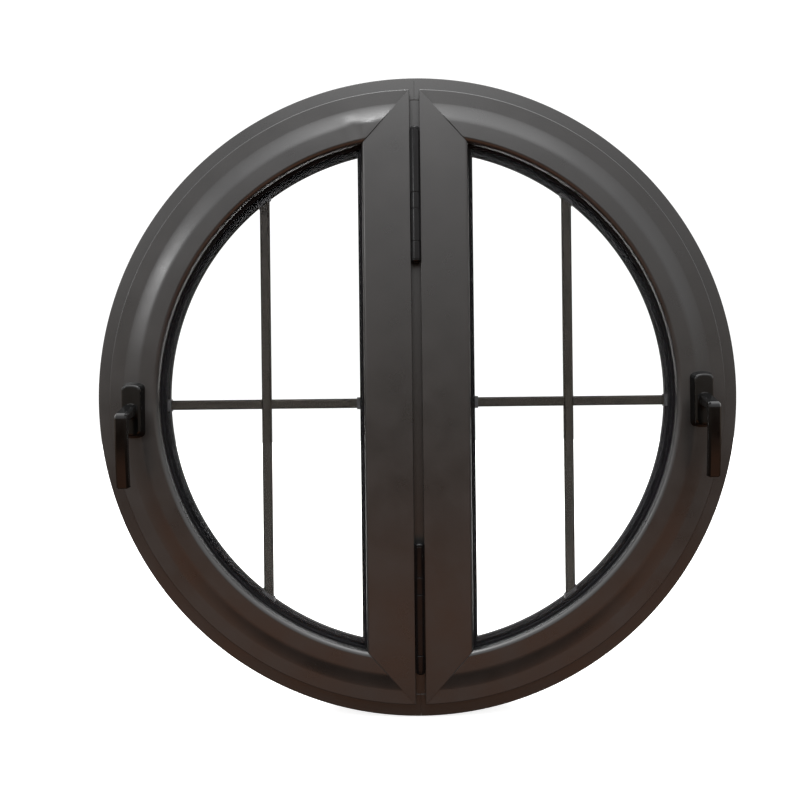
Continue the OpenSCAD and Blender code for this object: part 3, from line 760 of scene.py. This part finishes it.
def knuckleSpans(look, level, owner):
    # Bottom and top of each knuckle that belongs to the owner
    top = highOf(f"left_{level}_leaf").z
    spans = []
    for length, whose in zip(look[level], look["owners"]):
        if whose == owner:
            spans.append((top - length + look["gap"] / 2, top - look["gap"] / 2))
        top -= length
    return spans


def barrel(look, bottom, top):
    clearSelection()
    bpy.ops.mesh.primitive_cylinder_add(vertices=look["sides"], radius=look["barrelR"] * mm,
                                        depth=(top - bottom) * mm,
                                        location=(0, -faceD * mm, (bottom + top) / 2 * mm))
    piece = startPiece("barrel")
    selectFaces(piece, lambda centre, way: abs(way.z) > 0.9)
    bpy.ops.mesh.region_to_loop()
    bpy.ops.mesh.bevel(offset=look["edge"] * mm, segments=3, affect="EDGES")
    bpy.ops.object.mode_set(mode="OBJECT")
    return piece


def flatPlate(look, name, outline, start, thick):
    # A plate traced in the y-z plane and given its thickness along x
    plate = traceRing(name, [(start, -d, z) for d, z in outline])
    bpy.ops.mesh.edge_face_add()
    bpy.ops.mesh.extrude_region_move(TRANSFORM_OT_translate={"value": (thick * mm, 0, 0)})
    bpy.ops.mesh.select_all(action="SELECT")
    bpy.ops.mesh.bevel(offset=look["plateEdge"] * mm, segments=2, affect="EDGES")
    bpy.ops.object.mode_set(mode="OBJECT")
    return plate


def joined(parts, name):
    choose(parts[0])
    for part in parts:
        part.select_set(True)
    bpy.ops.object.join()
    parts[0].name = name
    parts[0].data.name = name
    settle(parts[0])
    return parts[0]


def screwPockets(look, places, turn):
    clearSelection()
    pockets = []
    for place in places:
        bpy.ops.mesh.primitive_cylinder_add(vertices=look["headSides"], radius=look["head"] * mm,
                                            depth=2 * look["pocket"] * mm, location=Vector(place) * mm,
                                            rotation=turn)
        pockets.append(bpy.context.object)
    choose(pockets[0])
    for pocket in pockets:
        pocket.select_set(True)
    bpy.ops.object.join()
    bpy.ops.object.transform_apply(location=True, rotation=True, scale=True)
    return pockets[0]


def hingeLeaf(look, side, level):
    top = highOf(f"{side}_{level}_leaf").z
    length = sum(look[level])
    bottom = top - length
    (low, high), = knuckleSpans(look, level, side)
    outline = [(look["leafLow"], bottom), (look["leafHigh"], bottom)]
    if low > bottom + 1:
        outline += [(look["leafHigh"], low)]
    outline += [(faceD, max(low, bottom)), (faceD, min(high, top))]
    if high < top - 1:
        outline += [(look["leafHigh"], high)]
    outline += [(look["leafHigh"], top), (look["leafLow"], top)]
    sign = -1 if side == "left" else 1
    start = sign * (sashX - look["leafT"])
    plate = flatPlate(look, "plate", outline, start, sign * look["leafT"])
    choose(plate)
    settle(plate)
    places = [(start, -(look["leafLow"] + look["leafHigh"]) / 2, top - share * length)
              for share in look["shares"]]
    applyBoolean(plate, screwPockets(look, places, (0, math.radians(90), 0)))
    leaf = joined([plate, barrel(look, low, high)], f"{side}{level.title()}Leaf")
    stand(leaf, f"{side}_{level}_leaf", f"{side}_sash", materials["hinge_coat"])


def hingeBracket(look, level):
    top = highOf(f"left_{level}_leaf").z
    length = sum(look[level])
    front = frameD + look["baseT"]
    corner = look["baseRound"]
    section = [(-sashX, frameD, 0), (-sashX, front, corner), (sashX, front, corner), (sashX, frameD, 0)]
    base = straightBar("base", roundedCorners(section, 3), top - length, length)
    bpy.ops.object.mode_set(mode="OBJECT")
    settle(base)
    heights = []
    knuckleTop = top
    for i, part in enumerate(look[level]):
        if i in (0, 2):
            heights.append(knuckleTop - part / 2)
        knuckleTop -= part
    places = [(0, -front, z) for z in heights]
    applyBoolean(base, screwPockets(look, places, (math.radians(90), 0, 0)))
    parts = [base]
    for low, high in knuckleSpans(look, level, "frame"):
        back = frameD + look["webSunk"]
        front = faceD - look["webShort"]
        web = [(back, low), (front, low), (front, high), (back, high)]
        parts.append(flatPlate(look, "web", web, -look["webHalf"], 2 * look["webHalf"]))
        parts.append(barrel(look, low, high))
    bracket = joined(parts, level + "HingeBracket")
    stand(bracket, level + "_hinge_bracket", "frame", materials["hinge_coat"])


def hingeCaps(look):
    caps = []
    for level in ("upper", "lower"):
        top = highOf(f"left_{level}_leaf").z
        for place, way in ((top, 1), (top - sum(look[level]), -1)):
            height = look["capH"] - look["capGap"]
            clearSelection()
            bpy.ops.mesh.primitive_cylinder_add(vertices=look["sides"], radius=look["barrelR"] * mm,
                                                depth=height * mm,
                                                location=(0, -faceD * mm, (place + way * height / 2) * mm))
            cap = startPiece("cap")
            selectFaces(cap, lambda centre, normal: normal.z * way > 0.9)
            bpy.ops.mesh.region_to_loop()
            bpy.ops.mesh.bevel(offset=look["capRound"] * mm, segments=7, affect="EDGES")
            bpy.ops.object.mode_set(mode="OBJECT")
            caps.append(cap)
    stand(joined(caps, "hingeCaps"), "hinge_caps", "frame", materials["hinge_coat"])


for level in ("upper", "lower"):
    hingeBracket(hinge, level)
    for side in ("left", "right"):
        hingeLeaf(hinge, side, level)
hingeCaps(hinge)
print("hinges modelled")


plate = {"width": 30, "height": 70, "draft": 4, "crownR": 48, "corner": 6, "frontEdge": 2.4, "sunk": 0.5,
         "steps": 8, "crease": 40}
lever = {"top": 7.2, "front": 136.5, "back": 125.5, "half": 8, "slim": 0.9, "bossR": 8.5, "bossOut": 1.2,
         "bossEdge": 0.7, "bossSides": 48, "sunk": 1, "tip": 92, "tipBack": 6, "tipRound": 1.2, "thin": 0.5,
         "outer": 7, "inner": 7, "edge": 2.4, "slopeFrom": 5, "slopeRound": 3, "drop": 11, "gripTop": 3,
         "gripSteps": 7, "cornerSteps": 6, "level": 0.01}


def plateOutline(look):
    # Sides run straight; the top and bottom are shallow curves
    half = look["width"] / 2
    rise = look["height"] / 2 - look["crownR"]
    crown = []
    for step in range(look["steps"] + 1):
        x = -half + look["width"] * step / look["steps"]
        crown.append((x, rise + math.sqrt(look["crownR"] ** 2 - x * x)))
    corner = look["corner"]
    top = [crown[0] + (corner,)] + [p + (0,) for p in crown[2:-2]] + [crown[-1] + (corner,)]
    return roundedCorners(top + [(-x, -z, r) for x, z, r in top])


def handlePlate(look, side):
    low, high = lowOf(f"{side}_handle_plate"), highOf(f"{side}_handle_plate")
    middle = ((low.x + high.x) / 2, (low.z + high.z) / 2)
    back = rimD - look["sunk"]
    front = -low.y
    outline = [(middle[0] + x, -back, middle[1] + z) for x, z in plateOutline(look)]
    piece = traceRing(f"{side}HandlePlate", outline)
    bpy.ops.mesh.edge_face_add()
    bpy.ops.mesh.extrude_region_move(TRANSFORM_OT_translate={"value": (0, -(front - back) * mm, 0)})
    narrow = 1 - 2 * look["draft"] / look["width"]
    shorter = 1 - 2 * look["draft"] / look["height"]
    bpy.ops.transform.resize(value=(narrow, 1, shorter), center_override=(middle[0] * mm, 0, middle[1] * mm))
    bpy.ops.mesh.region_to_loop()
    bpy.ops.mesh.bevel(offset=look["frontEdge"] * mm, segments=5, affect="EDGES")
    bpy.ops.object.mode_set(mode="OBJECT")
    settle(piece, look["crease"])
    stand(piece, f"{side}_handle_plate", f"{side}_sash", materials["handle_coat"])
    return middle


def leverSide(look, start):
    # Outline in the (d, z) plane: sloping neck, rounded outer corner, bowed grip, flat tip
    outline = [(start, look["top"], 0), (start + look["slopeFrom"], look["top"], look["slopeRound"]),
               (look["front"], look["top"] - look["drop"], look["outer"])]
    last = look["gripSteps"]
    gripTop = look["top"] - look["gripTop"]
    for step in range(1, last + 1):
        share = step / last
        outline.append((look["front"] - look["tipBack"] * share ** 2, gripTop
                        - (look["tip"] + gripTop) * share, 0 if step < last else look["tipRound"]))
    for step in range(last, 1, -1):
        share = step / last
        outline.append((look["back"] - look["tipBack"] * share ** 2 + look["thin"] * share, gripTop
                        - (look["tip"] + gripTop) * share, 0 if step < last else look["tipRound"]))
    outline += [(look["back"], -look["top"] - look["drop"] / 2, look["inner"]), (start, -look["top"], 0)]
    return roundedCorners(outline, look["cornerSteps"])


def leverPiece(look, side, middle):
    front = -lowOf(f"{side}_handle_plate").y
    start = front - look["sunk"]
    x, z = middle
    piece = traceRing(f"{side}Lever", [(x - look["half"], -d, z + h) for d, h in leverSide(look, start)])
    bpy.ops.mesh.edge_face_add()
    bpy.ops.mesh.extrude_region_move(TRANSFORM_OT_translate={"value": (2 * look["half"] * mm, 0, 0)})
    selectEdges(piece, lambda a, b: abs(a.x - b.x) < look["level"])
    bpy.ops.mesh.bevel(offset=look["edge"] * mm, segments=1, affect="EDGES", loop_slide=False)
    bpy.ops.mesh.select_all(action="SELECT")
    bpy.ops.transform.resize(value=(look["slim"], 1, 1), center_override=(x * mm, 0, 0))
    bpy.ops.object.mode_set(mode="OBJECT")
    clearSelection()
    height = look["sunk"] + look["bossOut"]
    bpy.ops.mesh.primitive_cylinder_add(vertices=look["bossSides"], radius=look["bossR"] * mm,
                                        depth=height * mm, rotation=(math.radians(90), 0, 0),
                                        location=(x * mm, -(start + height / 2) * mm, z * mm))
    boss = startPiece("boss")
    selectFaces(boss, lambda centre, way: way.y < -0.9)
    bpy.ops.mesh.region_to_loop()
    bpy.ops.mesh.bevel(offset=look["bossEdge"] * mm, segments=4, affect="EDGES")
    bpy.ops.object.mode_set(mode="OBJECT")
    whole = joined([piece, boss], f"{side}Lever")
    stand(whole, f"{side}_lever", f"{side}_handle", materials["handle_coat"])


for side in ("left", "right"):
    leverPiece(lever, side, handlePlate(plate, side))
print("handles modelled")


stage = {"floorZ": -0.402, "floorSize": 14, "colour": (0.80, 0.80, 0.79, 1), "roughness": 0.8,
         "specular": 0.1, "glow": 0.82}


def combine(tree, operation, first, second):
    node = addNode(tree, "ShaderNodeMath", {"operation": operation})
    for slot, value in zip(node.inputs, (first, second)):
        if isinstance(value, (int, float)):
            slot.default_value = value
        else:
            tree.links.new(value, slot)
    return node.outputs["Value"]


def seenPlainly(tree):
    # 1 for what is seen directly or straight through the glass, 0 for light that has bounced
    rays = addNode(tree, "ShaderNodeLightPath", {}).outputs
    bounced = combine(tree, "ADD", rays["Diffuse Depth"], rays["Glossy Depth"])
    straight = combine(tree, "LESS_THAN", bounced, 0.5)
    through = combine(tree, "MULTIPLY", rays["Is Transmission Ray"], straight)
    return combine(tree, "MAXIMUM", rays["Is Camera Ray"], through)


def floorMaterial(look):
    material, tree, shader = newFinish("paleFloor")
    shader.inputs["Base Color"].default_value = look["colour"]
    shader.inputs["Roughness"].default_value = look["roughness"]
    shader.inputs["Specular IOR Level"].default_value = look["specular"]
    shader.inputs["Emission Color"].default_value = (1, 1, 1, 1)
    glow = combine(tree, "MULTIPLY", seenPlainly(tree), look["glow"])
    tree.links.new(glow, shader.inputs["Emission Strength"])
    return material


clearSelection()
bpy.ops.mesh.primitive_plane_add(size=stage["floorSize"], location=(0, 0, stage["floorZ"]))
floor = startPiece("floor")
bpy.ops.mesh.subdivide(number_cuts=3)
bpy.ops.object.mode_set(mode="OBJECT")
floor.data.materials.append(floorMaterial(stage))
floor.visible_diffuse = False
floor.visible_glossy = False

sky = {"strength": 4.0, "seen": 1.15,
       "behind": (0.78, 0.92), "dim": 0.12,
       "stops": ((0.0, (0.018, 0.012, 0.009)), (0.45, (0.024, 0.013, 0.007)), (0.505, (0.106, 0.090, 0.074)),
                 (0.58, (0.265, 0.262, 0.262)), (0.86, (0.37, 0.37, 0.375)), (1.0, (1.0, 1.0, 1.0)))}


def buildSky(look):
    # Bright overhead, brown low down as over a timber floor, dim behind the window; plain pale to the eye
    # and through the glass
    world = bpy.data.worlds.new("studio")
    bpy.context.scene.world = world
    world.use_nodes = True
    tree = world.node_tree
    background = tree.nodes["Background"]
    place = addNode(tree, "ShaderNodeTexCoord", {})
    parts = addNode(tree, "ShaderNodeSeparateXYZ", {})
    tree.links.new(place.outputs["Generated"], parts.inputs["Vector"])
    height = addNode(tree, "ShaderNodeMapRange", {"From Min": -1, "From Max": 1})
    tree.links.new(parts.outputs["Z"], height.inputs["Value"])
    ramp = addNode(tree, "ShaderNodeValToRGB", {})
    stops = ramp.color_ramp.elements
    while len(stops) < len(look["stops"]):
        stops.new(0.5)
    for stop, (position, colour) in zip(stops, look["stops"]):
        stop.position = position
        stop.color = colour + (1,)
    tree.links.new(height.outputs["Result"], ramp.inputs["Fac"])
    tree.links.new(ramp.outputs["Color"], background.inputs["Color"])
    near, far = look["behind"]
    behind = addNode(tree, "ShaderNodeMapRange", {"From Min": near, "From Max": far,
                                                  "To Min": look["strength"],
                                                  "To Max": look["strength"] * look["dim"]})
    tree.links.new(parts.outputs["Y"], behind.inputs["Value"])
    tree.links.new(behind.outputs["Result"], background.inputs["Strength"])
    plain = addNode(tree, "ShaderNodeBackground", {"Color": (1, 1, 1, 1), "Strength": look["seen"]})
    mix = addNode(tree, "ShaderNodeMixShader", {})
    tree.links.new(seenPlainly(tree), mix.inputs["Fac"])
    tree.links.new(background.outputs["Background"], mix.inputs[1])
    tree.links.new(plain.outputs["Background"], mix.inputs[2])
    tree.links.new(mix.outputs["Shader"], tree.nodes["World Output"].inputs["Surface"])


buildSky(sky)

lamps = {
    "topLight": {"place": (0, -0.55, 0.95), "aim": (0, -0.08, 0), "size": 1.2, "power": 4.6},
    "sideLight": {"place": (-1.0, -0.95, 0.5), "aim": (0, -0.08, 0), "size": 0.3, "power": 1.8},
    "brightLamp": {"place": (-0.12, -0.75, 1.0), "aim": (0, -0.08, 0), "size": 0.1, "power": 1.8},
}
card = {"x": (-1.5, 1.5), "y": (-2.6, -0.65), "z": -0.6, "colour": (1.0, 0.34, 0.09, 1), "glow": 0.5}


def brownCard(look):
    # Light thrown up from a timber surface in front of the window
    clearSelection()
    middle = (sum(look["x"]) / 2, sum(look["y"]) / 2, look["z"])
    bpy.ops.mesh.primitive_plane_add(size=1, location=middle)
    bpy.context.object.scale = (look["x"][1] - look["x"][0], look["y"][1] - look["y"][0], 1)
    piece = startPiece("brownCard")
    bpy.ops.mesh.subdivide(number_cuts=1)
    bpy.ops.object.mode_set(mode="OBJECT")
    material, tree, shader = newFinish("brownCard")
    shader.inputs["Base Color"].default_value = (0, 0, 0, 1)
    shader.inputs["Emission Color"].default_value = look["colour"]
    shader.inputs["Emission Strength"].default_value = look["glow"]
    piece.data.materials.append(material)
    piece.visible_camera = False
    piece.visible_transmission = False
    piece.visible_shadow = False


brownCard(card)


def softLamp(name, look):
    light = bpy.data.lights.new(name, "AREA")
    light.shape = "DISK"
    light.size = look["size"]
    light.energy = look["power"]
    lamp = bpy.data.objects.new(name, light)
    bpy.context.scene.collection.objects.link(lamp)
    lamp.location = look["place"]
    aim = Vector(look["aim"]) - Vector(look["place"])
    lamp.rotation_euler = aim.to_track_quat("-Z", "Y").to_euler()
    lamp.visible_camera = False
    lamp.visible_transmission = False  # its light still reaches what is behind the panes


for title, look in lamps.items():
    softLamp(title, look)

eye = {"distance": 1.1, "lens": 40.14, "roll": 0.65, "shift": (-0.0219, -0.00375)}
shot = bpy.data.cameras.new("camera")
shot.lens = eye["lens"]
shot.sensor_width = 36
shot.shift_x, shot.shift_y = eye["shift"]
camera = bpy.data.objects.new("camera", shot)
camera.location = (0, -faceD * mm - eye["distance"], 0)
camera.rotation_euler = (math.radians(90), math.radians(eye["roll"]), 0)
bpy.context.scene.collection.objects.link(camera)
bpy.context.scene.camera = camera
bpy.context.scene.view_settings.view_transform = "Standard"
print("stage, light and camera set")
